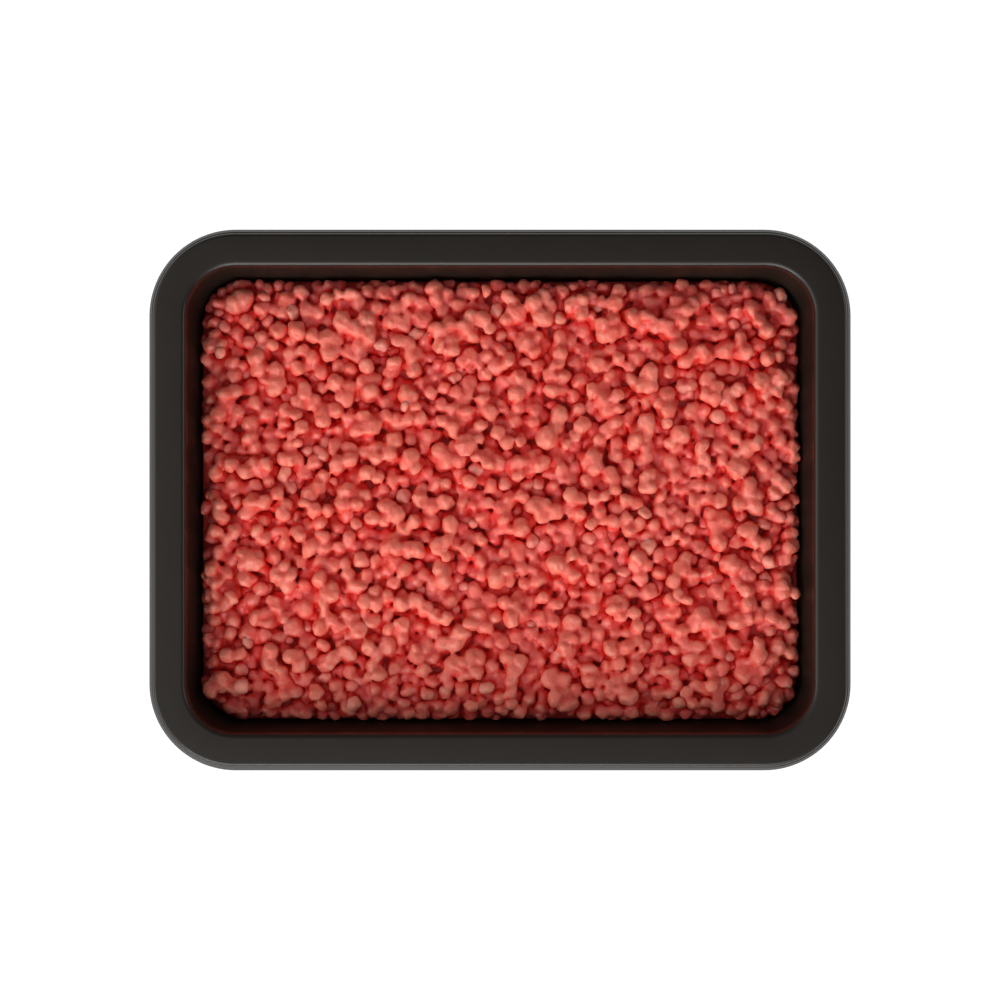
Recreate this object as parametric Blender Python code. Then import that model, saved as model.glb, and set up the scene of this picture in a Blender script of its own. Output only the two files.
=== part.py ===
"""A black thermoformed meat tray, filled with loose coarse mince.

The tray is one sheet of plastic: a flat sealing flange with a rounded, turned-down edge, steep walls that
narrow downwards, and a floor whose middle stands a little off the surface. The mince is one heap that fills
the tray to below its rim, with a bumpy top and a scalloped edge. Metres, +Z up, the origin at the middle of
the tray's foot.
"""

import math

import bmesh
import bpy
import numpy as np
from mathutils import Vector, geometry

# Driving sizes of the tray.
TRAY_LENGTH = 0.190
TRAY_WIDTH = 0.1465
TRAY_HEIGHT = 0.050
CORNER_RADIUS = 0.0234
WALL = 0.0008
WALL_DRAFT = math.radians(6.2)

# The rim, from the cut edge inwards. Insets run from the tray's outline towards its middle.
SKIRT_DROP = 0.0030
SKIRT_RUN = 0.0008
LEDGE_DROP = 0.0013
LEDGE_RUN = 0.0003
BEAD_RADIUS = 0.0012
FLANGE_WIDTH = 0.0102
MOUTH_RADIUS = 0.0015

# The floor, from the walls inwards.
FLOOR_RADIUS = 0.0060
FOOT_WIDTH = 0.0060
PANEL_RISE = 0.0034
PANEL_RUN = 0.0015
CORNER_TAPER = 0.4
LEAST_CORNER = 0.0020

# The mince.
SIDE_GAP = 0.0005
FLOOR_GAP = 0.0004
SHOULDER_HEIGHT = 0.0350
HEAP_HEIGHT = 0.0386
SHOULDER_WIDTH = 0.0100
BRIM_DROP = 0.0040
BRIM_UNEVENNESS = 0.0005
SWELL_HEIGHT = 0.0005
SWELL_RATES = (75.0, 95.0)
GRAIN_PITCH = 0.0054
GRAIN_JITTER = 0.16 * GRAIN_PITCH
GRAIN_RELIEF = 0.0017
RELIEF_SPREAD = 0.35
EDGE_CLEARANCE = 0.35 * GRAIN_PITCH
SCALLOP_DEPTH = 0.0009

CORNER_STEPS = 8
SIDE_CORNER_STEPS = 5
BRIM_CORNER_STEPS = 16
ARC_STEPS = 4
SEED = 7


def clear_scene():
    for obj in list(bpy.data.objects):
        bpy.data.objects.remove(obj)


def plastic_material():
    material = bpy.data.materials.new("black_plastic")
    material.use_nodes = True
    shader = material.node_tree.nodes["Principled BSDF"]
    shader.inputs["Base Color"].default_value = (0.013, 0.011, 0.010, 1.0)
    shader.inputs["Roughness"].default_value = 0.35
    shader.inputs["Metallic"].default_value = 0.0
    return material


def mince_material():
    material = bpy.data.materials.new("raw_mince")
    material.use_nodes = True
    shader = material.node_tree.nodes["Principled BSDF"]
    shader.inputs["Base Color"].default_value = (0.60, 0.10, 0.075, 1.0)
    shader.inputs["Roughness"].default_value = 0.45
    shader.inputs["Metallic"].default_value = 0.0
    return material


def add_object(name, mesh_data, material):
    mesh = bpy.data.meshes.new(name)
    mesh_data.to_mesh(mesh)
    mesh_data.free()
    mesh.materials.append(material)
    mesh.shade_smooth()
    mesh.set_sharp_from_angle(angle=math.radians(40))
    obj = bpy.data.objects.new(name, mesh)
    bpy.context.scene.collection.objects.link(obj)
    return obj


def arc(centre, radius, start, end, steps=ARC_STEPS):
    """Points on a round stretch of a section, both ends included. Angles in radians, from the +inset axis."""
    turns = [start + (end - start) * i / steps for i in range(steps + 1)]
    return [(centre[0] + radius * math.cos(a), centre[1] + radius * math.sin(a)) for a in turns]


def upper_section():
    """The tray's upper face as (inset, height), from the cut edge over the flange down to the floor's panel."""
    skirt = [(0.0, TRAY_HEIGHT - SKIRT_DROP), (SKIRT_RUN, TRAY_HEIGHT - LEDGE_DROP)]
    bead_start = SKIRT_RUN + LEDGE_RUN
    bead = arc((bead_start + BEAD_RADIUS, TRAY_HEIGHT - BEAD_RADIUS), BEAD_RADIUS, math.pi, math.pi / 2)
    mouth_centre = (FLANGE_WIDTH - MOUTH_RADIUS, TRAY_HEIGHT - MOUTH_RADIUS)
    mouth = arc(mouth_centre, MOUTH_RADIUS, math.pi / 2, WALL_DRAFT)
    floor_height = WALL
    wall_drop = mouth[-1][1] - floor_height - FLOOR_RADIUS * (1 - math.sin(WALL_DRAFT))
    wall_foot = mouth[-1][0] + wall_drop * math.tan(WALL_DRAFT)
    floor_centre = (wall_foot + FLOOR_RADIUS * math.cos(WALL_DRAFT), floor_height + FLOOR_RADIUS)
    floor_arc = arc(floor_centre, FLOOR_RADIUS, math.pi + WALL_DRAFT, 1.5 * math.pi)
    foot_end = floor_centre[0] + FOOT_WIDTH
    panel = [(foot_end, floor_height), (foot_end + PANEL_RUN, floor_height + PANEL_RISE)]
    return skirt + bead + mouth + floor_arc + panel


def thickened(section, depth):
    """The section's other face: each point moved square to the sheet, towards its underside."""
    moved = []
    for i, point in enumerate(section):
        here = Vector(point)
        before = Vector(section[max(i - 1, 0)])
        after = Vector(section[min(i + 1, len(section) - 1)])
        steps = [step.normalized() for step in (here - before, after - here) if step.length > 0]
        normals = [Vector((step.y, -step.x)) for step in steps]
        middle = sum(normals, Vector((0.0, 0.0))).normalized()
        moved.append(tuple(here + middle * depth / middle.dot(normals[0])))
    return moved


def corner_radius(inset):
    """The corners stay concentric across the flange, and close more slowly down the walls."""
    below_mouth = max(inset - FLANGE_WIDTH, 0.0)
    radius = CORNER_RADIUS - min(inset, FLANGE_WIDTH) - CORNER_TAPER * below_mouth
    return max(radius, LEAST_CORNER)


def rounded_outline(inset, corner_steps=CORNER_STEPS):
    """One turn round the tray at an inset, as (x, y), anticlockwise from the +X side."""
    half_x = TRAY_LENGTH / 2 - inset
    half_y = TRAY_WIDTH / 2 - inset
    radius = corner_radius(inset)
    points = []
    for corner, (side_x, side_y) in enumerate(((1, 1), (-1, 1), (-1, -1), (1, -1))):
        centre = (side_x * (half_x - radius), side_y * (half_y - radius))
        points += arc(centre, radius, corner * math.pi / 2, (corner + 1) * math.pi / 2, corner_steps)
    return points


def add_ring(mesh_data, outline, height):
    return [mesh_data.verts.new((x, y, height)) for x, y in outline]


def skin_between(mesh_data, lower, upper):
    """Quads between two rings of the same count. They face outwards where upper lies above lower."""
    count = len(lower)
    for i in range(count):
        j = (i + 1) % count
        mesh_data.faces.new((lower[i], lower[j], upper[j], upper[i]))


def build_tray(material):
    top = upper_section()
    under = thickened(top, WALL)
    section = under[::-1] + top
    mesh_data = bmesh.new()
    rings = [add_ring(mesh_data, rounded_outline(inset), height) for inset, height in section]
    for lower, upper in zip(rings, rings[1:]):
        skin_between(mesh_data, lower, upper)
    mesh_data.faces.new(rings[0][::-1])
    mesh_data.faces.new(rings[-1])
    return add_object("tray", mesh_data, material)


def wall_inset(height):
    """How far in the tray's inner wall stands at a height."""
    drop = TRAY_HEIGHT - MOUTH_RADIUS - height
    return FLANGE_WIDTH + drop * math.tan(WALL_DRAFT)


def resampled(outline, count):
    """The closed outline as that many points, evenly spaced along it."""
    corners = [Vector(point) for point in outline]
    ends = corners[1:] + corners[:1]
    lengths = [(b - a).length for a, b in zip(corners, ends)]
    total = sum(lengths)
    points = []
    for k in range(count):
        left = total * k / count
        for a, b, length in zip(corners, ends, lengths):
            if left <= length and length > 0:
                points.append(a.lerp(b, left / length))
                break
            left -= length
    return points


def scalloped(outline, random):
    """The heap's edge: every second point drawn in by an uneven amount, as between two grains."""
    edge = []
    count = len(outline)
    for i, point in enumerate(outline):
        tangent = outline[(i + 1) % count] - outline[i - 1]
        inwards = Vector((-tangent.y, tangent.x)).normalized()
        depth = SCALLOP_DEPTH * (random.uniform(0.6, 1.5) if i % 2 else random.uniform(0.0, 0.4))
        edge.append(point + inwards * depth)
    return edge


def inside(point, outline):
    """Whether a point lies within a closed outline, by counting the edges that a ray to +X crosses."""
    crossings = 0
    for a, b in zip(outline, outline[1:] + outline[:1]):
        if (a.y > point.y) != (b.y > point.y):
            at_x = a.x + (point.y - a.y) * (b.x - a.x) / (b.y - a.y)
            crossings += at_x > point.x
    return crossings % 2 == 1


def grain_points(limit, random):
    """Crests of the topmost grains on a jittered triangular lattice, with a hollow in each triangle."""
    row_step = GRAIN_PITCH * math.sqrt(3) / 2
    rows = math.ceil(TRAY_WIDTH / row_step)
    columns = math.ceil(TRAY_LENGTH / GRAIN_PITCH)
    found = []
    for row in range(-rows // 2, rows // 2 + 1):
        for column in range(-columns // 2, columns // 2 + 1):
            crest = Vector(((column + 0.5 * (row % 2)) * GRAIN_PITCH, row * row_step))
            spots = (
                (crest, 1.0),
                (crest + Vector((GRAIN_PITCH / 2, row_step / 3)), 0.0),
                (crest + Vector((0.0, 2 * row_step / 3)), 0.0),
            )
            for spot, share in spots:
                moved = spot + Vector(random.uniform(-GRAIN_JITTER, GRAIN_JITTER, 2))
                if inside(moved, limit):
                    found.append((moved, share))
    return found


def heap_height(point, rim_distance, crest, random):
    """The heap's top: level in the middle, falling over a rounded shoulder, with crests and hollows."""
    share = min(rim_distance / SHOULDER_WIDTH, 1.0)
    level = SHOULDER_HEIGHT + (HEAP_HEIGHT - SHOULDER_HEIGHT) * math.sin(share * math.pi / 2)
    swell = SWELL_HEIGHT * math.sin(point.x * SWELL_RATES[0]) * math.cos(point.y * SWELL_RATES[1])
    relief = random.uniform(-RELIEF_SPREAD, RELIEF_SPREAD) * GRAIN_RELIEF
    return level + swell + relief - (1.0 - crest) * GRAIN_RELIEF * min(0.4 + share, 1.0)


def build_mince(material):
    random = np.random.default_rng(SEED)
    mesh_data = bmesh.new()

    floor_height = WALL + PANEL_RISE + FLOOR_GAP
    floor_inset = wall_inset(floor_height) + FLOOR_RADIUS / 2
    side_insets = [(floor_inset, floor_height)]
    side_insets += [(wall_inset(z) + SIDE_GAP, z) for z in (floor_height + FLOOR_RADIUS / 2, SHOULDER_HEIGHT / 2)]
    coarse = [rounded_outline(inset, SIDE_CORNER_STEPS) for inset, _ in side_insets]
    rings = [add_ring(mesh_data, ring, height) for ring, (_, height) in zip(coarse, side_insets)]
    for lower, upper in zip(rings, rings[1:]):
        skin_between(mesh_data, lower, upper)
    mesh_data.faces.new(rings[0][::-1])

    brim_height = SHOULDER_HEIGHT - BRIM_DROP
    brim_inset = wall_inset(brim_height) + SIDE_GAP
    perimeter = 2 * (TRAY_LENGTH + TRAY_WIDTH) - 8 * brim_inset
    brim_count = 2 * round(perimeter / GRAIN_PITCH)
    brim = scalloped(resampled(rounded_outline(brim_inset, BRIM_CORNER_STEPS), brim_count), random)
    brim_ring = []
    for point in brim:
        unevenness = random.uniform(-BRIM_UNEVENNESS, BRIM_UNEVENNESS)
        brim_ring.append(mesh_data.verts.new((point.x, point.y, brim_height + unevenness)))
    bridge_uneven(mesh_data, rings[-1], brim_ring)

    middle = Vector((0.0, 0.0))
    limit = [point + (middle - point).normalized() * EDGE_CLEARANCE for point in brim]
    spots = grain_points(limit, random)
    flat = brim + [spot for spot, _ in spots]
    loop = list(range(len(brim)))
    _, _, triangles, origins, _, _ = geometry.delaunay_2d_cdt(flat, [], [loop], 1, 1e-7)
    crests = {len(brim) + i: crest for i, (_, crest) in enumerate(spots)}
    top = list(brim_ring)
    for i in range(len(brim), len(flat)):
        point = flat[i]
        rim_distance = min((point - edge).length for edge in brim)
        top.append(mesh_data.verts.new((*point, heap_height(point, rim_distance, crests[i], random))))
    source = [min(names) for names in origins]
    for triangle in triangles:
        mesh_data.faces.new([top[source[k]] for k in triangle])
    return add_object("mince", mesh_data, material)


def bridge_uneven(mesh_data, lower, upper):
    """Triangles between two rings of different counts, taking the shorter diagonal at each step."""
    start = min(range(len(upper)), key=lambda k: (upper[k].co - lower[0].co).length)
    upper = upper[start:] + upper[:start]
    i = j = 0
    while i < len(lower) or j < len(upper):
        low, high = lower[i % len(lower)], upper[j % len(upper)]
        next_low, next_high = lower[(i + 1) % len(lower)], upper[(j + 1) % len(upper)]
        go_low = (next_low.co - high.co).length < (next_high.co - low.co).length
        if j == len(upper) or (i < len(lower) and go_low):
            mesh_data.faces.new((low, next_low, high))
            i += 1
        else:
            mesh_data.faces.new((low, next_high, high))
            j += 1


clear_scene()
build_tray(plastic_material())
build_mince(mince_material())
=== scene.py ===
import math

import bmesh
import bpy
import numpy as np
from mathutils import Matrix, Vector


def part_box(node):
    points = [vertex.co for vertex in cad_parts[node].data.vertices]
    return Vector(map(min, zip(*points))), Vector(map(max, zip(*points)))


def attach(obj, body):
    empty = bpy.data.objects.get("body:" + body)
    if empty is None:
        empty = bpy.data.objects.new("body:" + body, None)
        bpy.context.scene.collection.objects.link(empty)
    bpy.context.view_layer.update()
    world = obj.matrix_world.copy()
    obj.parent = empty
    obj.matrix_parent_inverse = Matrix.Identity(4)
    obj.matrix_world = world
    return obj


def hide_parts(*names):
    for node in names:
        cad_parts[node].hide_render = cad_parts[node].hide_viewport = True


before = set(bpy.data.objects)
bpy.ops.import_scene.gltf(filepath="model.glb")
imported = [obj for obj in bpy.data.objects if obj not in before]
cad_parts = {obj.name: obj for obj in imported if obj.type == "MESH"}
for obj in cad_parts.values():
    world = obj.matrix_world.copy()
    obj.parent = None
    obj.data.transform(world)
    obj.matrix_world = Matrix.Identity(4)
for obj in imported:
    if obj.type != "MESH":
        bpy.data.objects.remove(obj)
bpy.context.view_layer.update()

MM = 0.001


# --- The tray -----------------------------------------------------------------------------------------------
# The tray is one sheet of black plastic, warmed and drawn down into a cold mould. Its flat flange takes the
# film that seals a pack; the outer edge is rounded over and turned down where the sheet was cut, and the walls
# narrow towards the floor so that trays stack. The foot is a flat ring round a panel that stands off the shelf.

tray_low, tray_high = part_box("tray")
TRAY_LENGTH = tray_high.x - tray_low.x
TRAY_WIDTH = tray_high.y - tray_low.y
TRAY_HEIGHT = tray_high.z - tray_low.z
CORNER_RADIUS = 23.4 * MM
WALL = 0.8 * MM
WALL_DRAFT = math.radians(6.2)
SKIRT_DROP = 3.0 * MM
SKIRT_RUN = 0.8 * MM
LEDGE_DROP = 1.3 * MM
LEDGE_RUN = 0.3 * MM
BEAD_RADIUS = 1.2 * MM
FLANGE_WIDTH = 10.2 * MM
MOUTH_RADIUS = 1.5 * MM
FLOOR_RADIUS = 6.0 * MM
FOOT_WIDTH = 6.0 * MM
PANEL_RISE = 3.4 * MM
PANEL_RUN = 1.5 * MM
CORNER_TAPER = 0.4
CORNER_STEPS = 24


def arc(centre, radius, start, end, steps=10):
    turns = [start + (end - start) * i / steps for i in range(steps + 1)]
    return [(centre[0] + radius * math.cos(a), centre[1] + radius * math.sin(a)) for a in turns]


def rounded_path(points, radius, steps=4):
    """An open line of points with every inner corner rounded to a radius, or to what its sides have room for."""
    path = [points[0]]
    for before, corner, after in zip(points, points[1:], points[2:]):
        here = Vector(corner)
        to_before = Vector(before) - here
        to_after = Vector(after) - here
        turn = math.pi - to_before.angle(to_after)
        if turn < math.radians(8):
            path.append(corner)
            continue
        reach = min(radius * math.tan(turn / 2), 0.4 * to_before.length, 0.4 * to_after.length)
        start = here + to_before.normalized() * reach
        end = here + to_after.normalized() * reach
        for i in range(steps + 1):
            t = i / steps
            path.append(tuple(start.lerp(here, t).lerp(here.lerp(end, t), t)))
    return path + [points[-1]]


def tray_section():
    """The upper face as (inset, height), from the cut edge over the flange and down to the floor's panel."""
    bead_start = SKIRT_RUN + LEDGE_RUN
    edge = [
        (0.0, TRAY_HEIGHT - SKIRT_DROP),
        (SKIRT_RUN, TRAY_HEIGHT - LEDGE_DROP),
        (bead_start, TRAY_HEIGHT - BEAD_RADIUS),
        (bead_start, TRAY_HEIGHT - 0.8 * BEAD_RADIUS),
    ]
    bead = arc((bead_start + BEAD_RADIUS, TRAY_HEIGHT - BEAD_RADIUS), BEAD_RADIUS, math.pi, math.pi / 2)
    mouth_centre = (FLANGE_WIDTH - MOUTH_RADIUS, TRAY_HEIGHT - MOUTH_RADIUS)
    mouth = arc(mouth_centre, MOUTH_RADIUS, math.pi / 2, WALL_DRAFT)
    wall_drop = mouth[-1][1] - WALL - FLOOR_RADIUS * (1 - math.sin(WALL_DRAFT))
    wall_foot = mouth[-1][0] + wall_drop * math.tan(WALL_DRAFT)
    floor_centre = (wall_foot + FLOOR_RADIUS * math.cos(WALL_DRAFT), WALL + FLOOR_RADIUS)
    floor_arc = arc(floor_centre, FLOOR_RADIUS, math.pi + WALL_DRAFT, 1.5 * math.pi)
    foot_end = floor_centre[0] + FOOT_WIDTH
    panel = [
        (foot_end, WALL),
        (foot_end + PANEL_RUN, WALL + PANEL_RISE),
        (foot_end + 3 * PANEL_RUN, WALL + PANEL_RISE),
    ]
    return rounded_path(edge[:3], 0.3 * MM) + bead[1:] + mouth + floor_arc + rounded_path(panel, 1.0 * MM)


def thickened(section, depth):
    """The sheet's other face: each point moved square to the sheet, towards its underside."""
    moved = []
    for i, point in enumerate(section):
        here = Vector(point)
        before = Vector(section[max(i - 1, 0)])
        after = Vector(section[min(i + 1, len(section) - 1)])
        steps = [step.normalized() for step in (here - before, after - here) if step.length > 0]
        normals = [Vector((step.y, -step.x)) for step in steps]
        middle = sum(normals, Vector((0.0, 0.0))).normalized()
        moved.append(tuple(here + middle * depth / middle.dot(normals[0])))
    return moved


def corner_radius(inset):
    below_mouth = max(inset - FLANGE_WIDTH, 0.0)
    return CORNER_RADIUS - min(inset, FLANGE_WIDTH) - CORNER_TAPER * below_mouth


def rounded_outline(inset):
    half_x = TRAY_LENGTH / 2 - inset
    half_y = TRAY_WIDTH / 2 - inset
    radius = corner_radius(inset)
    points = []
    for corner, (side_x, side_y) in enumerate(((1, 1), (-1, 1), (-1, -1), (1, -1))):
        centre = (side_x * (half_x - radius), side_y * (half_y - radius))
        points += arc(centre, radius, corner * math.pi / 2, (corner + 1) * math.pi / 2, CORNER_STEPS)
    return points


def shaded_piece(name, mesh, material, sharp=None):
    """A smooth-shaded piece of the object, riding on its only body."""
    mesh.materials.append(material)
    mesh.shade_smooth()
    if sharp is not None:
        mesh.set_sharp_from_angle(angle=math.radians(sharp))
    piece = bpy.data.objects.new(name, mesh)
    bpy.context.scene.collection.objects.link(piece)
    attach(piece, "root")
    return piece


def tray_mesh():
    top = tray_section()
    section = thickened(top, WALL)[::-1] + top
    build = bmesh.new()
    rings = []
    for inset, height in section:
        rings.append([build.verts.new((x, y, height)) for x, y in rounded_outline(inset)])
    for lower, upper in zip(rings, rings[1:]):
        for i in range(len(lower)):
            j = (i + 1) % len(lower)
            build.faces.new((lower[i], lower[j], upper[j], upper[i]))
    build.faces.new(rings[0][::-1])
    build.faces.new(rings[-1])
    mesh = bpy.data.meshes.new("tray_shell")
    build.to_mesh(mesh)
    build.free()
    return mesh


def node_material(name):
    material = bpy.data.materials.new(name)
    material.use_nodes = True
    nodes = material.node_tree.nodes
    return material, nodes, material.node_tree.links, nodes["Principled BSDF"]


def black_sheet():
    """Black sheet plastic: satin, with a faint unevenness from the mould's face."""
    material, nodes, links, shader = node_material("black_sheet_plastic")
    shader.inputs["IOR"].default_value = 1.5
    place = nodes.new("ShaderNodeTexCoord")
    cloud = nodes.new("ShaderNodeTexNoise")
    cloud.inputs["Scale"].default_value = 60.0
    cloud.inputs["Detail"].default_value = 4.0
    links.new(place.outputs["Object"], cloud.inputs["Vector"])
    tone = nodes.new("ShaderNodeMix")
    tone.data_type = "RGBA"
    tone.inputs["A"].default_value = (0.0120, 0.0082, 0.0052, 1.0)
    tone.inputs["B"].default_value = (0.0150, 0.0108, 0.0074, 1.0)
    links.new(cloud.outputs["Fac"], tone.inputs["Factor"])
    links.new(tone.outputs["Result"], shader.inputs["Base Color"])
    gloss = nodes.new("ShaderNodeMapRange")
    gloss.inputs["To Min"].default_value = 0.26
    gloss.inputs["To Max"].default_value = 0.36
    links.new(cloud.outputs["Fac"], gloss.inputs["Value"])
    height = nodes.new("ShaderNodeSeparateXYZ")
    links.new(place.outputs["Object"], height.inputs["Vector"])
    stretched = nodes.new("ShaderNodeMapRange")
    stretched.inputs["From Min"].default_value = TRAY_HEIGHT - 0.7 * MOUTH_RADIUS
    stretched.inputs["From Max"].default_value = TRAY_HEIGHT - 2.5 * MOUTH_RADIUS
    links.new(height.outputs["Z"], stretched.inputs["Value"])
    duller = nodes.new("ShaderNodeMath")
    duller.operation = "MULTIPLY_ADD"
    duller.inputs[1].default_value = 0.22
    links.new(stretched.outputs["Result"], duller.inputs[0])
    links.new(gloss.outputs["Result"], duller.inputs[2])
    links.new(duller.outputs[0], shader.inputs["Roughness"])
    sheen = nodes.new("ShaderNodeMapRange")
    sheen.inputs["To Min"].default_value = 0.5
    sheen.inputs["To Max"].default_value = 0.15
    links.new(stretched.outputs["Result"], sheen.inputs["Value"])
    links.new(sheen.outputs["Result"], shader.inputs["Specular IOR Level"])
    grain = nodes.new("ShaderNodeTexNoise")
    grain.inputs["Scale"].default_value = 1400.0
    grain.inputs["Detail"].default_value = 2.0
    links.new(place.outputs["Object"], grain.inputs["Vector"])
    bump = nodes.new("ShaderNodeBump")
    bump.inputs["Strength"].default_value = 0.12
    bump.inputs["Distance"].default_value = 0.05 * MM
    links.new(grain.outputs["Fac"], bump.inputs["Height"])
    links.new(bump.outputs["Normal"], shader.inputs["Normal"])
    return material


tray_shell = shaded_piece("tray_shell", tray_mesh(), black_sheet(), sharp=40)
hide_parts("tray")


# --- The inside of the mince ----------------------------------------------------------------------------------
# Under the loose grains the meat is pressed together into one dark red mass that fills the tray to its walls.
# Only its uneven top shows, deep in the gaps between the grains that lie on it.

SIDE_GAP = 0.4 * MM
FLOOR_GAP = 0.4 * MM
SHOULDER_HEIGHT = 35.4 * MM
HEAP_HEIGHT = 38.6 * MM
SHOULDER_WIDTH = 10.0 * MM
GRAIN_COVER = 6.0 * MM


def wall_inset(height):
    """How far in the tray's inner wall stands at a height."""
    return FLANGE_WIDTH + (TRAY_HEIGHT - MOUTH_RADIUS - height) * math.tan(WALL_DRAFT)


def wall_distance(x, y, inset):
    """How far inside the rounded outline at an inset each point lies. Negative outside it."""
    radius = corner_radius(inset)
    over_x = np.abs(x) - (TRAY_LENGTH / 2 - inset - radius)
    over_y = np.abs(y) - (TRAY_WIDTH / 2 - inset - radius)
    outside = np.hypot(np.maximum(over_x, 0), np.maximum(over_y, 0))
    return radius - outside - np.minimum(np.maximum(over_x, over_y), 0)


def heap_level(x, y):
    """The height that the grains' crests reach: level in the middle, lower over the last stretch to the wall."""
    inside = np.maximum(wall_distance(x, y, wall_inset(SHOULDER_HEIGHT)), 0)
    share = np.minimum(inside / SHOULDER_WIDTH, 1.0)
    swell = 0.0005 * np.sin(x * 75.0 + 0.6) * np.cos(y * 95.0 - 0.4)
    return SHOULDER_HEIGHT + (HEAP_HEIGHT - SHOULDER_HEIGHT) * np.sin(share * math.pi / 2) + swell


def value_noise(x, y, pitch, random):
    """Smooth random waves over a plane, about a pitch apart, between -1 and 1."""
    total = np.zeros_like(x)
    for _ in range(9):
        angle, phase = random.uniform(0, 2 * math.pi, 2)
        total += np.sin((x * math.cos(angle) + y * math.sin(angle)) * 2 * math.pi / pitch + phase)
    return total / 4.5


def core_mesh():
    random = np.random.default_rng(11)
    floor = WALL + PANEL_RISE + FLOOR_GAP
    levels = [(wall_inset(floor) + FLOOR_RADIUS / 2, floor)]
    top_height = SHOULDER_HEIGHT - GRAIN_COVER
    levels += [(wall_inset(z) + SIDE_GAP, z) for z in np.linspace(floor + FLOOR_RADIUS / 2, top_height, 6)]
    build = bmesh.new()
    rings = []
    for inset, height in levels:
        rings.append([build.verts.new((x, y, height)) for x, y in rounded_outline(inset)])
    for share in np.linspace(0.985, 0.02, 60):
        ring = []
        for x, y in rounded_outline(levels[-1][0]):
            px, py = x * share, y * share
            lumps = value_noise(np.array(px), np.array(py), 5 * MM, np.random.default_rng(5))
            height = heap_level(np.array(px), np.array(py)) - GRAIN_COVER + 0.7 * MM * lumps
            ring.append(build.verts.new((px, py, float(height))))
        rings.append(ring)
    for lower, upper in zip(rings, rings[1:]):
        for i in range(len(lower)):
            j = (i + 1) % len(lower)
            build.faces.new((lower[i], lower[j], upper[j], upper[i]))
    build.faces.new(rings[0][::-1])
    build.faces.new(rings[-1])
    mesh = bpy.data.meshes.new("mince_core")
    build.to_mesh(mesh)
    build.free()
    return mesh


# Colours mixed into the meat by the masks below: a pale peach painted highlight on crests that face up, painted shade
# deep in the heap that also stands for the darker, more purple colour of meat kept from the air, and a deep saturated
# red painted shade in the hollows between knobs and on steep flanks.
PAINTED_LIGHT_SHADES = (
    ("painted_crest_highlight", (0.92, 0.29, 0.20), 0.75),
    ("depth_shade_and_airless_tint", (0.82, 0.095, 0.100), 0.85),
    ("painted_crease_shade", (0.86, 0.040, 0.026), 0.85),
)


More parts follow.
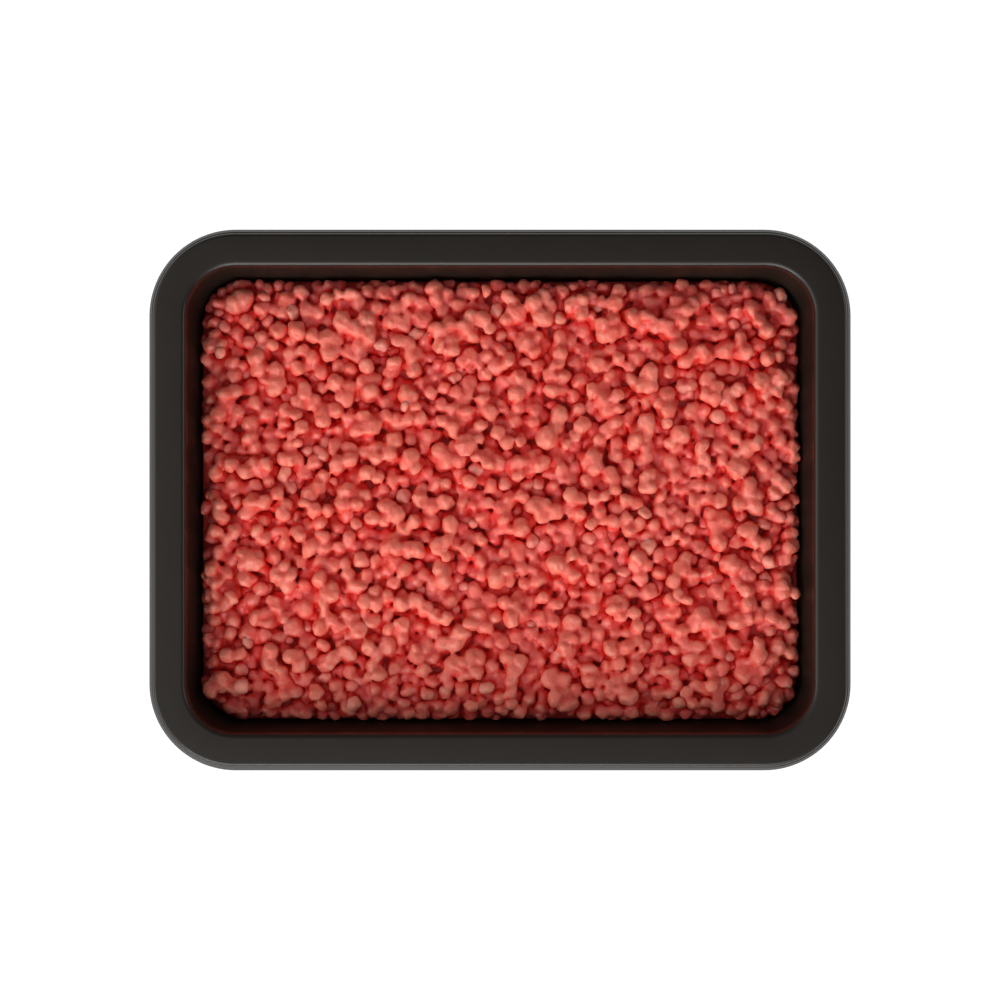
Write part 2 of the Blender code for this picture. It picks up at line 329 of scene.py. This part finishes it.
def meat(name, dark, light, gloss, fat_share):
    """Raw minced meat: each grain has its own tone, with soft pale streaks of fat through it, and a painted highlight
    and painted shade mixed in from masks on its vertices.
    """
    material, nodes, links, shader = node_material(name)
    place = nodes.new("ShaderNodeTexCoord")
    own = nodes.new("ShaderNodeAttribute")
    own.attribute_name = "tone"
    blotch = nodes.new("ShaderNodeTexNoise")
    blotch.inputs["Scale"].default_value = 480.0
    blotch.inputs["Detail"].default_value = 4.0
    blotch.inputs["Roughness"].default_value = 0.65
    links.new(place.outputs["Object"], blotch.inputs["Vector"])
    spread = nodes.new("ShaderNodeMath")
    spread.operation = "MULTIPLY_ADD"
    spread.inputs[1].default_value = 1.4
    spread.inputs[2].default_value = -0.7
    links.new(blotch.outputs["Fac"], spread.inputs[0])
    share = nodes.new("ShaderNodeMath")
    share.use_clamp = True
    links.new(own.outputs["Fac"], share.inputs[0])
    links.new(spread.outputs[0], share.inputs[1])
    lean = nodes.new("ShaderNodeMix")
    lean.data_type = "RGBA"
    lean.inputs["A"].default_value = (*dark, 1.0)
    lean.inputs["B"].default_value = (*light, 1.0)
    links.new(share.outputs[0], lean.inputs["Factor"])
    streak = nodes.new("ShaderNodeTexNoise")
    streak.inputs["Scale"].default_value = 240.0
    streak.inputs["Detail"].default_value = 2.0
    streak.inputs["Distortion"].default_value = 1.5
    links.new(place.outputs["Object"], streak.inputs["Vector"])
    fat = nodes.new("ShaderNodeMapRange")
    fat.interpolation_type = "SMOOTHSTEP"
    fat.inputs["From Min"].default_value = 0.60
    fat.inputs["From Max"].default_value = 0.74
    fat.inputs["To Max"].default_value = fat_share
    links.new(streak.outputs["Fac"], fat.inputs["Value"])
    marbled = nodes.new("ShaderNodeMix")
    marbled.data_type = "RGBA"
    marbled.inputs["B"].default_value = (0.86, 0.36, 0.26, 1.0)
    links.new(fat.outputs["Result"], marbled.inputs["Factor"])
    links.new(lean.outputs["Result"], marbled.inputs["A"])
    colour = marbled.outputs["Result"]
    # Mix in each vertex's painted highlight and painted shade, weighted by its mask.
    for shade, (red, green, blue), most in PAINTED_LIGHT_SHADES:
        reading = nodes.new("ShaderNodeAttribute")
        reading.attribute_name = shade
        amount = nodes.new("ShaderNodeMath")
        amount.operation = "MULTIPLY"
        amount.inputs[1].default_value = most
        links.new(reading.outputs["Fac"], amount.inputs[0])
        shaded = nodes.new("ShaderNodeMix")
        shaded.data_type = "RGBA"
        shaded.inputs["B"].default_value = (red, green, blue, 1.0)
        links.new(amount.outputs[0], shaded.inputs["Factor"])
        links.new(colour, shaded.inputs["A"])
        colour = shaded.outputs["Result"]
    links.new(colour, shader.inputs["Base Color"])
    wet = nodes.new("ShaderNodeMapRange")
    wet.inputs["To Min"].default_value = gloss - 0.08
    wet.inputs["To Max"].default_value = gloss + 0.10
    links.new(blotch.outputs["Fac"], wet.inputs["Value"])
    links.new(wet.outputs["Result"], shader.inputs["Roughness"])
    fibre = nodes.new("ShaderNodeTexNoise")
    fibre.inputs["Scale"].default_value = 520.0
    fibre.inputs["Detail"].default_value = 3.0
    links.new(place.outputs["Object"], fibre.inputs["Vector"])
    bump = nodes.new("ShaderNodeBump")
    bump.inputs["Strength"].default_value = 0.8
    bump.inputs["Distance"].default_value = 0.6 * MM
    links.new(fibre.outputs["Fac"], bump.inputs["Height"])
    links.new(bump.outputs["Normal"], shader.inputs["Normal"])
    shader.inputs["Subsurface Weight"].default_value = 1.0
    shader.inputs["Subsurface Radius"].default_value = (1.0, 0.25, 0.18)
    shader.inputs["Subsurface Scale"].default_value = 1.8 * MM
    shader.inputs["Specular IOR Level"].default_value = 0.5
    return material


core = shaded_piece("mince_core", core_mesh(), meat("packed_meat", (0.80, 0.07, 0.06), (0.85, 0.10, 0.08), 0.5, 0.2))
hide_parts("mince")


# --- The crumbs of mince ------------------------------------------------------------------------------------
# Cold meat comes out of the mincer's plate in strands, which break into crumbs: clusters of a few soft blunt
# knobs, stuck together. They are dropped into the tray by weight and never pressed, so each lies loosely
# across those under it. Leaner and fatter crumbs differ a little in colour, and a few knobs are plain fat.

KNOB_SIZE = 4.4 * MM
KNOB_STEP = 0.80
CELL = 0.35 * MM
STICK = 1.4 * MM
BLEND = 0.10 * MM
VOXEL = 0.60 * MM
LEAST_SEEN = 1.0 * MM**2
# Depth below the heap's level over which knobs take painted shade, together with the darker, more purple colour of
# meat kept from the air.
DEPTH_SHADE_START = 0.8 * MM
DEPTH_SHADE_SPAN = 3.5 * MM
MOST_REFUSED = 60
SWELL = 0.25 * MM
PASSES = (
    # most knobs, tries, crest over the level, least depth below the level, share of the heap to cover
    (5, 8, -2.9 * MM, 4.0 * MM, 1.0),
    (2, 30, -2.7 * MM, 4.2 * MM, 1.0),
    (6, 2, 1.3 * MM, -1.0 * MM, 0.64),
    (2, 30, -1.0 * MM, 3.8 * MM, 1.0),
)
UPPER_DEPTH = 1.6 * MM
KINDS = ("fat_bits", "pale_crumbs", "rosy_crumbs", "pink_crumbs", "red_crumbs", "lean_crumbs")
FAT_SHARE = 0.02
PATCH = 85.0 * MM
RIPPLE = 0.16 * MM
RIPPLE_WAVES = 12
CREASE_REACH = 1.3 * MM
random = np.random.default_rng(2024)


def ball(count, lift):
    """Directions all round, closer together above by a lift."""
    index = np.arange(count) + 0.5
    up = 1 - 2 * index / count
    turn = index * math.pi * (1 + math.sqrt(5))
    out = np.sqrt(1 - up**2)
    points = np.stack([out * np.cos(turn), out * np.sin(turn), up + lift], axis=1)
    return points / np.linalg.norm(points, axis=1, keepdims=True)


DIRECTIONS = ball(80, 0.0)
SPLAT_DIRECTIONS = ball(1200, 0.6)


def unit_vectors(count):
    vectors = random.normal(size=(count, 3))
    return vectors / np.linalg.norm(vectors, axis=1, keepdims=True)


def new_knob(size):
    """One knob's own shape: a squeezed ball with a few blunted faces."""
    faces = unit_vectors(6)
    faces_at = random.uniform(0.75, 1.0, 6)
    axes = np.linalg.qr(random.normal(size=(3, 3)))[0]
    squeeze = axes @ np.diag(1 / random.uniform(0.75, 1.25, 3)) @ axes.T
    half = size / 2 * np.clip(random.normal(1.0, 0.14), 0.7, 1.35)

    def reach(directions):
        """How far the knob's surface is from its middle in each direction."""
        squeezed = directions @ squeeze
        length = np.linalg.norm(squeezed, axis=1)
        aim = squeezed / length[:, None]
        cut = (np.maximum(aim @ faces.T, 0) / faces_at) ** 14
        return half / length * (cut.sum(axis=1) + 1) ** (-1 / 14)

    return reach


def new_crumb(knobs, size):
    """A cluster of knobs as (reach, offset), each stuck to one of those before it."""
    spots = [np.zeros(3)]
    while len(spots) < knobs:
        stem = spots[max(len(spots) - 1 - int(random.integers(0, 3)), 0)]
        step = unit_vectors(1)[0] * (1.0, 1.0, 0.5)
        spot = stem + step / np.linalg.norm(step) * KNOB_STEP * size * random.uniform(0.85, 1.15)
        if min(np.linalg.norm(spot - other) for other in spots) > 0.5 * size:
            spots.append(spot)
    middle = np.mean(spots, axis=0)
    return [(new_knob(size), spot - middle) for spot in spots]


field_x = np.arange(-TRAY_LENGTH / 2, TRAY_LENGTH / 2, CELL)
field_y = np.arange(-TRAY_WIDTH / 2, TRAY_WIDTH / 2, CELL)
grid_x, grid_y = np.meshgrid(field_x, field_y, indexing="ij")
target = heap_level(grid_x, grid_y)
surface = target - GRAIN_COVER + 0.7 * MM * value_noise(grid_x, grid_y, 5 * MM, np.random.default_rng(5))
owner = np.full(surface.shape, -1)
patches = value_noise(grid_x, grid_y, PATCH, random)
patches = np.searchsorted(np.quantile(patches, np.arange(1, len(KINDS) - 1) / (len(KINDS) - 1)), patches) + 1
inner = wall_distance(grid_x, grid_y, wall_inset(SHOULDER_HEIGHT)) > SHOULDER_WIDTH
lumps = []


def cells(x, y):
    ix = np.clip(np.floor((x + TRAY_LENGTH / 2) / CELL).astype(int), 0, surface.shape[0] - 1)
    iy = np.clip(np.floor((y + TRAY_WIDTH / 2) / CELL).astype(int), 0, surface.shape[1] - 1)
    return ix, iy


def rest_height(places, under):
    """How high a crumb's middle comes to rest at each of several places, sunk a little into what it touches."""
    x = places[:, 0:1] + under[None, :, 0]
    y = places[:, 1:2] + under[None, :, 1]
    gap = surface[cells(x, y)] - under[None, :, 2]
    contacts = np.sort(gap, axis=1)[:, -max(len(under) // 10, 1):]
    inset = wall_inset(SHOULDER_HEIGHT - KNOB_SIZE / 2)
    out = wall_distance(x, y, inset).min(axis=1) < SIDE_GAP
    return np.where(out, 1.0, contacts.mean(axis=1) - STICK)


def settle(crumb, tries, crest, hollow):
    """Where a crumb comes to rest: the lowest of several places, or None if it would stand over its crest there.
    It falls only where the heap so far is a hollow's depth below its level."""
    surfaces = [DIRECTIONS * reach(DIRECTIONS)[:, None] + offset for reach, offset in crumb]
    points = np.concatenate(surfaces)
    under = np.concatenate([part[part[:, 2] < part[:, 2].mean()] for part in surfaces])
    open_cells = np.flatnonzero(surface < target - hollow)
    if len(open_cells) == 0:
        return None
    pick = random.choice(open_cells, tries)
    starts = np.stack([grid_x.flat[pick], grid_y.flat[pick]], axis=1)
    heights = rest_height(starts, under)
    room = heap_level(starts[:, 0], starts[:, 1]) + crest - (heights + points[:, 2].max())
    fits = np.flatnonzero(room > 0)
    if len(fits) == 0:
        return None
    best = fits[np.argmax(room[fits])]
    return np.array((*starts[best], heights[best]))


def lay(kind, crumb, place):
    """Keep a crumb's knobs, and raise the surface that the next ones fall on."""
    tone = random.uniform()
    for reach, offset in crumb:
        middle = place + offset
        x, y, z = (SPLAT_DIRECTIONS * reach(SPLAT_DIRECTIONS)[:, None] + middle).T
        ix, iy = cells(x, y)
        higher = z > surface[ix, iy]
        order = np.argsort(z[higher])
        surface[ix[higher][order], iy[higher][order]] = z[higher][order]
        owner[ix[higher], iy[higher]] = len(lumps)
        own_tone = np.clip(tone + random.normal(0.0, 0.15), 0, 1)
        lumps.append({"kind": kind, "reach": reach, "place": middle, "tone": own_tone})


for most_knobs, tries, crest, hollow, cover in PASSES:
    refused = 0
    while refused < MOST_REFUSED and np.mean((surface > target - UPPER_DEPTH)[inner]) < cover:
        fatty = random.uniform() < FAT_SHARE
        knobs = 1 if fatty else int(random.integers(max(most_knobs // 2, 1), most_knobs + 1))
        crumb = new_crumb(knobs, KNOB_SIZE * (0.8 if fatty else 1.0))
        place = settle(crumb, tries, crest, hollow)
        if place is None:
            refused += 1
            continue
        refused = 0
        kind = KINDS[0 if fatty else patches[cells(place[0], place[1])]]
        lay(kind, crumb, place)
    print("knobs laid", len(lumps), "most", most_knobs)

seen = np.bincount(owner[owner >= 0].ravel(), minlength=len(lumps)) * CELL**2
print("knobs laid", len(lumps), "seen", int((seen > 0).sum()), "plain", int((seen > 4 * MM**2).sum()))
error = (surface - target)[inner] * 1000
print("level error mm: mean %.2f sd %.2f" % (error.mean(), error.std()), np.percentile(error, [1, 5, 25, 50, 75, 95, 99]).round(2), "bare", float((owner[inner] < 0).mean()))


def soften(heights, reach):
    """A field of heights, smoothed over a reach."""
    across = np.fft.fftfreq(heights.shape[0], CELL)[:, None]
    along = np.fft.fftfreq(heights.shape[1], CELL)[None, :]
    kept = np.exp(-2 * (math.pi * reach) ** 2 * (across**2 + along**2))
    return np.fft.ifft2(np.fft.fft2(heights) * kept).real


# The smoothed level that the painted highlight and painted shade are measured from.
mid_level = soften(surface, CREASE_REACH) + SWELL


def painted_light_masks(points, facing_up):
    """How far each point stands out of the meat round it, lies low in a fold of it, or lies deep in the heap: masks
    for a painted highlight on crests that face up, painted shade in the hollows and on steep flanks, and painted shade
    deep in the heap that also stands for the darker, more purple colour of meat kept from the air.
    """
    around = mid_level[cells(points[:, 0], points[:, 1])]
    depth = heap_level(points[:, 0], points[:, 1]) - points[:, 2]
    # Steep flanks lose the painted highlight and take painted shade, as if the light came from above.
    steep = np.clip((0.75 - facing_up) / 0.6, 0, 1)
    return {
        # Painted highlight: pale peach on points that stand above the meat round them and face up.
        "painted_crest_highlight": np.clip((points[:, 2] - around) / (1.2 * MM), 0, 1) * (1 - steep),
        # Painted shade: deep saturated red where a point lies below the meat round it or on a steep flank.
        "painted_crease_shade": np.clip((around - points[:, 2]) / (1.2 * MM) + 0.7 * steep, 0, 1),
        # Painted shade on knobs deep in the heap, together with the darker, more purple colour of meat kept from the
        # air.
        "depth_shade_and_airless_tint": np.clip((depth - DEPTH_SHADE_START) / DEPTH_SHADE_SPAN, 0, 1),
    }


def ripples(axes):
    """Small uneven swellings of the meat's face, on a grid of points."""
    waves = np.random.default_rng(7)
    total = np.zeros([len(axis) for axis in axes])
    for direction in unit_vectors(RIPPLE_WAVES):
        rate = direction * 2 * math.pi / waves.uniform(1.8 * MM, 4.0 * MM)
        x, y, z = (rate[i] * axes[i] for i in range(3))
        total += np.sin(x[:, None, None] + y[None, :, None] + z[None, None, :] + waves.uniform(0, 2 * math.pi))
    return total * RIPPLE * math.sqrt(2 / RIPPLE_WAVES)


def blended_field(chosen):
    """On a grid of points: how deep each lies in the lumps, blended where they meet, and the lumps' tone there."""
    places = np.array([lump["place"] for lump in chosen])
    low = places.min(axis=0) - KNOB_SIZE
    counts = np.ceil((places.max(axis=0) + KNOB_SIZE - low) / VOXEL).astype(int)
    weight = np.zeros(counts, dtype=np.float64)
    toned = np.zeros(counts, dtype=np.float64)
    for lump in chosen:
        far = lump["reach"](DIRECTIONS).max() + 4 * BLEND + SWELL
        first = np.maximum(((lump["place"] - far - low) / VOXEL).astype(int), 0)
        last = np.minimum(((lump["place"] + far - low) / VOXEL).astype(int) + 2, counts)
        axes = [low[i] + VOXEL * np.arange(first[i], last[i]) - lump["place"][i] for i in range(3)]
        offset = np.stack(np.meshgrid(*axes, indexing="ij"), axis=-1)
        distance = np.linalg.norm(offset, axis=-1) + 1e-9
        near = distance < far
        part = np.zeros(distance.shape)
        apart = distance[near]
        outside = apart - lump["reach"](offset[near] / apart[:, None])
        part[near] = np.exp(-np.maximum(outside, -6 * BLEND) / BLEND)
        block = tuple(slice(first[i], last[i]) for i in range(3))
        weight[block] += part
        toned[block] += part * lump["tone"]
    depth = BLEND * np.log(np.maximum(weight, 1e-6)) + SWELL
    axes = [low[i] + VOXEL * np.arange(counts[i]) for i in range(3)]
    x, y = np.meshgrid(axes[0], axes[1], indexing="ij")
    wall = np.stack([wall_distance(x, y, wall_inset(level)) for level in axes[2]], axis=-1) - SIDE_GAP
    return low, np.minimum(depth + ripples(axes), wall), toned / np.maximum(weight, 1e-6)


def skin_of(depth):
    """The surface where a field on a grid is zero: one point in each cell that it crosses, and quads between them."""
    inside = depth > 0
    corners = np.stack([inside[i:inside.shape[0] - 1 + i, j:inside.shape[1] - 1 + j, k:inside.shape[2] - 1 + k]
                        for i in (0, 1) for j in (0, 1) for k in (0, 1)]).sum(axis=0)
    crossed = (corners > 0) & (corners < 8)
    number = np.full(crossed.shape, -1)
    base = np.argwhere(crossed)
    number[crossed] = np.arange(len(base))
    total = np.zeros((len(base), 3))
    hits = np.zeros(len(base))
    for axis in range(3):
        step = np.eye(3, dtype=int)[axis]
        others = [o for o in range(3) if o != axis]
        for a in (0, 1):
            for b in (0, 1):
                start = np.zeros(3, dtype=int)
                start[others[0]], start[others[1]] = a, b
                one = depth[tuple((base + start).T)]
                two = depth[tuple((base + start + step).T)]
                hit = (one > 0) != (two > 0)
                share = np.where(hit, one / np.where(hit, one - two, 1.0), 0.0)
                total += hit[:, None] * (start + share[:, None] * step)
                hits += hit
    points = base + total / hits[:, None]
    quads = []
    for axis in range(3):
        others = [(axis + 1) % 3, (axis + 2) % 3]
        step = np.eye(3, dtype=int)
        inner = [slice(1, -1)] * 3
        inner[axis] = slice(0, -1)
        ahead = [slice(1, -1)] * 3
        ahead[axis] = slice(1, None)
        one, two = inside[tuple(inner)], inside[tuple(ahead)]
        edge = np.argwhere(one != two)
        outward = one[tuple(edge.T)]
        edge = edge + np.where(np.arange(3) == axis, 0, 1)
        u, v = step[others[0]], step[others[1]]
        ring = np.stack([number[tuple((edge - a * u - b * v).T)] for a, b in ((0, 0), (1, 0), (1, 1), (0, 1))], axis=1)
        ring[~outward] = ring[~outward][:, ::-1]
        quads.append(ring)
    return points, np.concatenate(quads)


def crumb_piece(kind, material):
    chosen = [lump for lump, area in zip(lumps, seen) if lump["kind"] == kind and area > LEAST_SEEN]
    low, depth, tone = blended_field(chosen)
    points, quads = skin_of(depth)
    mesh = bpy.data.meshes.new(kind)
    mesh.from_pydata(low + points * VOXEL, [], quads)
    normals = np.empty(3 * len(points), dtype=np.float32)
    mesh.vertex_normals.foreach_get("vector", normals)
    # Masks of painted highlight and painted shade, kept on each vertex with its own tone.
    painted_light_and_tone = painted_light_masks(low + points * VOXEL, normals[2::3])
    painted_light_and_tone["tone"] = tone[tuple(np.round(points).astype(int).T)]
    for name, values in painted_light_and_tone.items():
        shade = mesh.attributes.new(name, "FLOAT", "POINT")
        shade.data.foreach_set("value", values.astype(np.float32))
    piece = shaded_piece(kind, mesh, material)
    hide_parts("mince")
    print(kind, len(chosen), "lumps", 2 * len(mesh.polygons), "triangles")
    return piece


crumb_piece("fat_bits", meat("pale_fat", (0.87, 0.25, 0.185), (0.89, 0.38, 0.29), 0.31, 0.5))
crumb_piece("pale_crumbs", meat("pale_meat", (0.89, 0.145, 0.107), (0.90, 0.215, 0.160), 0.31, 0.5))
crumb_piece("rosy_crumbs", meat("rosy_meat", (0.885, 0.135, 0.099), (0.90, 0.200, 0.149), 0.31, 0.45))
crumb_piece("pink_crumbs", meat("pink_meat", (0.88, 0.125, 0.092), (0.895, 0.190, 0.141), 0.31, 0.4))
crumb_piece("red_crumbs", meat("red_meat", (0.875, 0.116, 0.086), (0.89, 0.180, 0.134), 0.31, 0.35))
crumb_piece("lean_crumbs", meat("lean_meat", (0.87, 0.107, 0.080), (0.885, 0.168, 0.126), 0.31, 0.3))


# --- The floor, the light and the camera --------------------------------------------------------------------
# The tray stands on a pale floor in soft light. The largest lamp is in front of it and a little to the left.

bpy.context.scene.view_settings.view_transform = "Standard"


def floor_piece():
    build = bmesh.new()
    bmesh.ops.create_grid(build, x_segments=1, y_segments=1, size=4.0)
    mesh = bpy.data.meshes.new("floor")
    build.to_mesh(mesh)
    build.free()
    material, nodes, links, shader = node_material("pale_floor")
    shader.inputs["Base Color"].default_value = (0.1, 0.1, 0.1, 1.0)
    shader.inputs["Roughness"].default_value = 0.9
    shader.inputs["Emission Color"].default_value = (1.0, 1.0, 1.0, 1.0)
    shader.inputs["Emission Strength"].default_value = 0.98
    mesh.materials.append(material)
    piece = bpy.data.objects.new("floor", mesh)
    piece.location.z = -0.05 * MM
    bpy.context.scene.collection.objects.link(piece)


def soft_lamp(name, place, size, power, colour=(1.0, 1.0, 1.0)):
    data = bpy.data.lights.new(name, "AREA")
    data.shape = "RECTANGLE"
    data.size, data.size_y = size
    data.energy = power
    data.color = colour
    lamp = bpy.data.objects.new(name, data)
    lamp.location = place
    aim = Vector((0.0, 0.0, TRAY_HEIGHT)) - Vector(place)
    lamp.rotation_mode = "QUATERNION"
    lamp.rotation_quaternion = aim.to_track_quat("-Z", "Y")
    lamp.visible_camera = False
    bpy.context.scene.collection.objects.link(lamp)


floor_piece()
soft_lamp("front_lamp", (-0.3, -0.95, 0.8), (1.0, 0.7), 6.5)
soft_lamp("front_strip", (-0.15, -0.85, 0.4), (1.2, 0.08), 2.5)
soft_lamp("left_lamp", (-1.0, -0.25, 0.65), (0.8, 0.6), 2.5)
soft_lamp("right_lamp", (1.05, 0.1, 0.6), (0.5, 0.4), 1.2)

world = bpy.data.worlds.new("studio")
world.use_nodes = True
sky = world.node_tree.nodes
sky_links = world.node_tree.links
aim = sky.new("ShaderNodeTexCoord")
towards = sky.new("ShaderNodeVectorMath")
towards.operation = "DOT_PRODUCT"
towards.inputs[1].default_value = (-1.0, -1.0, 0.0)
sky_links.new(aim.outputs["Generated"], towards.inputs[0])
brighter = sky.new("ShaderNodeMapRange")
brighter.interpolation_type = "SMOOTHSTEP"
brighter.inputs["From Min"].default_value = -0.25
brighter.inputs["From Max"].default_value = 0.25
brighter.inputs["To Min"].default_value = 0.16
brighter.inputs["To Max"].default_value = 0.58
sky_links.new(towards.outputs["Value"], brighter.inputs["Value"])
sky_links.new(brighter.outputs["Result"], sky["Background"].inputs["Strength"])
sky["Background"].inputs["Color"].default_value = (1.0, 1.0, 1.0, 1.0)
bpy.context.scene.world = world

camera_data = bpy.data.cameras.new("camera")
camera_data.lens = 100.0
camera_data.sensor_width = 36.0
camera = bpy.data.objects.new("camera", camera_data)
camera.location = (0.0, 0.0, 0.7997)
bpy.context.scene.collection.objects.link(camera)
bpy.context.scene.camera = camera
